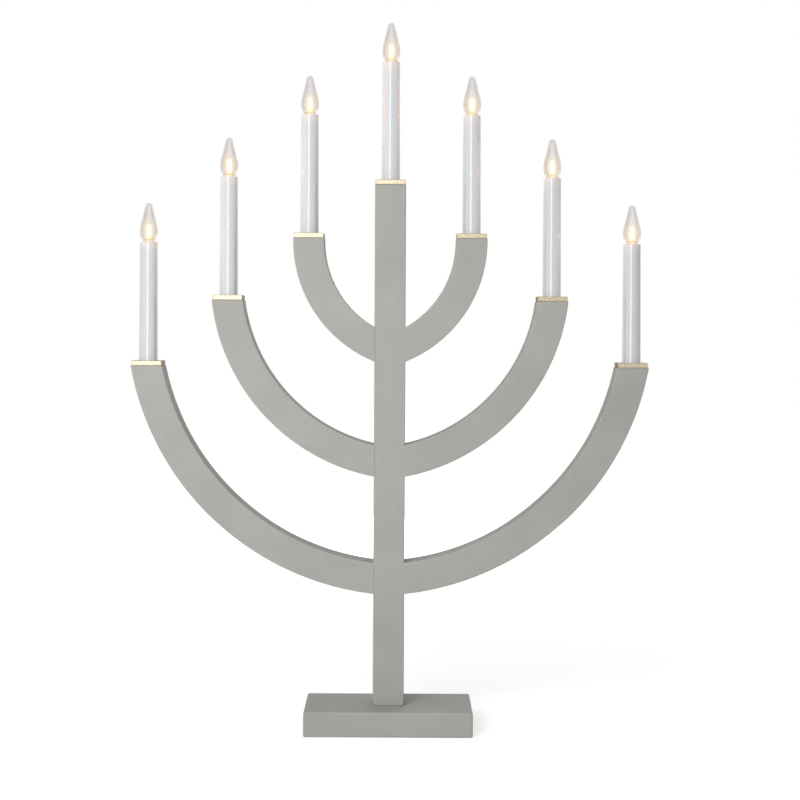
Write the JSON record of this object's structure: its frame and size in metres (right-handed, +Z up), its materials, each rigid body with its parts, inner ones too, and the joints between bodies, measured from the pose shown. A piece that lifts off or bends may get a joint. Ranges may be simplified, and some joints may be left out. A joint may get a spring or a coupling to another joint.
{
  "type": "candle arch",
  "caption": "Electric candle arch: a painted stem on a block carries pairs of curved arms with brass plates, candle tubes and screw-in flame bulbs.",
  "frame": {"origin": "on the floor, under the middle of the base block", "axes": "+Z up along the stem, +X to the right across the arms seen from the front, +Y to the back"},
  "size_m": [0.5172, 0.09, 0.7093],
  "materials": {
    "grey_paint": "satin grey paint on wood",
    "beech": "raw beech",
    "zinc_steel": "zinc plated",
    "black_bush": "moulded",
    "holder_plastic": "moulded",
    "socket_brass": "pressed",
    "plate_brass": "polished, lightly mottled",
    "candle_white": "glossy",
    "bulb_clear": "clear",
    "cap_brass": "pressed",
    "bulb_glow": "clear rod, lit",
    "contact_insulator": "glass insulator"
  },
  "bodies": {
    "frame": {"base_block": "grey_paint", "stem": "grey_paint", "arm_dowels": "beech", "base_screws": "zinc_steel", "cord_inlet_bush": "black_bush", "wire_covers": "grey_paint", "lamp_holder_bodies": "holder_plastic", "holder_screw_shells": "socket_brass", "holder_contacts": "socket_brass", "left_outer_arm": "grey_paint", "left_middle_arm": "grey_paint", "left_inner_arm": "grey_paint", "right_outer_arm": "grey_paint", "right_middle_arm": "grey_paint", "right_inner_arm": "grey_paint", "left_outer_plate": "plate_brass", "left_outer_candle_tube": "candle_white", "left_middle_plate": "plate_brass", "left_middle_candle_tube": "candle_white", "left_inner_plate": "plate_brass", "left_inner_candle_tube": "candle_white", "centre_plate": "plate_brass", "centre_candle_tube": "candle_white", "right_inner_plate": "plate_brass", "right_inner_candle_tube": "candle_white", "right_middle_plate": "plate_brass", "right_middle_candle_tube": "candle_white", "right_outer_plate": "plate_brass", "right_outer_candle_tube": "candle_white"},
    "left_outer_bulb_foot": {"left_outer_bulb_contact": "contact_insulator"},
    "left_outer_bulb": {"left_outer_bulb_envelope": "bulb_clear", "left_outer_bulb_cap": "cap_brass", "left_outer_bulb_light_guide": "bulb_glow"},
    "left_middle_bulb_foot": {"left_middle_bulb_contact": "contact_insulator"},
    "left_middle_bulb": {"left_middle_bulb_envelope": "bulb_clear", "left_middle_bulb_cap": "cap_brass", "left_middle_bulb_light_guide": "bulb_glow"},
    "left_inner_bulb_foot": {"left_inner_bulb_contact": "contact_insulator"},
    "left_inner_bulb": {"left_inner_bulb_envelope": "bulb_clear", "left_inner_bulb_cap": "cap_brass", "left_inner_bulb_light_guide": "bulb_glow"},
    "centre_bulb_foot": {"centre_bulb_contact": "contact_insulator"},
    "centre_bulb": {"centre_bulb_envelope": "bulb_clear", "centre_bulb_cap": "cap_brass", "centre_bulb_light_guide": "bulb_glow"},
    "right_inner_bulb_foot": {"right_inner_bulb_contact": "contact_insulator"},
    "right_inner_bulb": {"right_inner_bulb_envelope": "bulb_clear", "right_inner_bulb_cap": "cap_brass", "right_inner_bulb_light_guide": "bulb_glow"},
    "right_middle_bulb_foot": {"right_middle_bulb_contact": "contact_insulator"},
    "right_middle_bulb": {"right_middle_bulb_envelope": "bulb_clear", "right_middle_bulb_cap": "cap_brass", "right_middle_bulb_light_guide": "bulb_glow"},
    "right_outer_bulb_foot": {"right_outer_bulb_contact": "contact_insulator"},
    "right_outer_bulb": {"right_outer_bulb_envelope": "bulb_clear", "right_outer_bulb_cap": "cap_brass", "right_outer_bulb_light_guide": "bulb_glow"}
  },
  "joints": [
    {"name": "left_outer_bulb_rise", "type": "slide", "parent": "frame", "child": "left_outer_bulb_foot", "axis": [0, 0, 1], "range_m": [0, 0.00818]},
    {"name": "left_outer_bulb_turn", "type": "hinge", "parent": "left_outer_bulb_foot", "child": "left_outer_bulb", "pos_m": [-0.243, 0, 0.6], "axis": [0, 0, 1], "range_deg": [0, 1620]},
    {"name": "left_middle_bulb_rise", "type": "slide", "parent": "frame", "child": "left_middle_bulb_foot", "axis": [0, 0, 1], "range_m": [0, 0.00818]},
    {"name": "left_middle_bulb_turn", "type": "hinge", "parent": "left_middle_bulb_foot", "child": "left_middle_bulb", "pos_m": [-0.1625, 0, 0.6], "axis": [0, 0, 1], "range_deg": [0, 1620]},
    {"name": "left_inner_bulb_rise", "type": "slide", "parent": "frame", "child": "left_inner_bulb_foot", "axis": [0, 0, 1], "range_m": [0, 0.00818]},
    {"name": "left_inner_bulb_turn", "type": "hinge", "parent": "left_inner_bulb_foot", "child": "left_inner_bulb", "pos_m": [-0.0815, 0, 0.6], "axis": [0, 0, 1], "range_deg": [0, 1620]},
    {"name": "centre_bulb_rise", "type": "slide", "parent": "frame", "child": "centre_bulb_foot", "axis": [0, 0, 1], "range_m": [0, 0.00818]},
    {"name": "centre_bulb_turn", "type": "hinge", "parent": "centre_bulb_foot", "child": "centre_bulb", "pos_m": [0, 0, 0.6], "axis": [0, 0, 1], "range_deg": [0, 1620]},
    {"name": "right_inner_bulb_rise", "type": "slide", "parent": "frame", "child": "right_inner_bulb_foot", "axis": [0, 0, 1], "range_m": [0, 0.00818]},
    {"name": "right_inner_bulb_turn", "type": "hinge", "parent": "right_inner_bulb_foot", "child": "right_inner_bulb", "pos_m": [0.0815, 0, 0.6], "axis": [0, 0, 1], "range_deg": [0, 1620]},
    {"name": "right_middle_bulb_rise", "type": "slide", "parent": "frame", "child": "right_middle_bulb_foot", "axis": [0, 0, 1], "range_m": [0, 0.00818]},
    {"name": "right_middle_bulb_turn", "type": "hinge", "parent": "right_middle_bulb_foot", "child": "right_middle_bulb", "pos_m": [0.1625, 0, 0.6], "axis": [0, 0, 1], "range_deg": [0, 1620]},
    {"name": "right_outer_bulb_rise", "type": "slide", "parent": "frame", "child": "right_outer_bulb_foot", "axis": [0, 0, 1], "range_m": [0, 0.00818]},
    {"name": "right_outer_bulb_turn", "type": "hinge", "parent": "right_outer_bulb_foot", "child": "right_outer_bulb", "pos_m": [0.243, 0, 0.6], "axis": [0, 0, 1], "range_deg": [0, 1620]}
  ],
  "couplings": [
    {"joint": "left_outer_bulb_rise", "follows": "left_outer_bulb_turn", "m_per_rad": 0.00028871},
    {"joint": "left_middle_bulb_rise", "follows": "left_middle_bulb_turn", "m_per_rad": 0.00028871},
    {"joint": "left_inner_bulb_rise", "follows": "left_inner_bulb_turn", "m_per_rad": 0.00028871},
    {"joint": "centre_bulb_rise", "follows": "centre_bulb_turn", "m_per_rad": 0.00028871},
    {"joint": "right_inner_bulb_rise", "follows": "right_inner_bulb_turn", "m_per_rad": 0.00028871},
    {"joint": "right_middle_bulb_rise", "follows": "right_middle_bulb_turn", "m_per_rad": 0.00028871},
    {"joint": "right_outer_bulb_rise", "follows": "right_outer_bulb_turn", "m_per_rad": 0.00028871}
  ]
}
